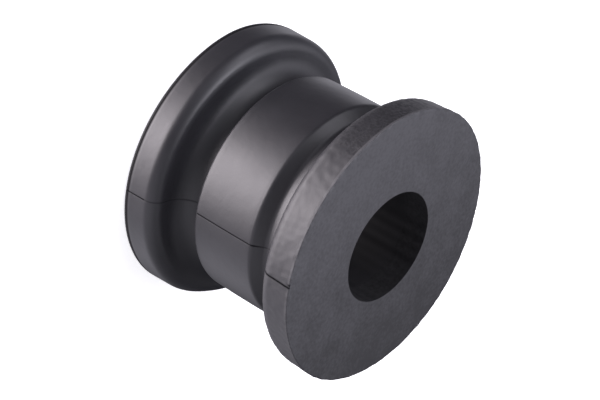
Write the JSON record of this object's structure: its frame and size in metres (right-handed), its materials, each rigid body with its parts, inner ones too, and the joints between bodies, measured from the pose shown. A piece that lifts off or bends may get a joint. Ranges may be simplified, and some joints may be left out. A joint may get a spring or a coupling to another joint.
{
  "type": "sway bar bushing",
  "caption": "Spool-shaped rubber bushing with a through bore, a crowned waist, a groove beside each flange and flat end faces.",
  "frame": {"origin": "centre of the lower end face, on the bore axis", "axes": "+Z along the bore axis, up towards the end face that the picture shows; +X and +Y lie in the lower end face"},
  "size_m": [0.042, 0.042, 0.0316],
  "materials": {
    "moulded_rubber": "satin moulded"
  },
  "bodies": {
    "root": {"bushing": "moulded_rubber"}
  },
  "joints": []
}
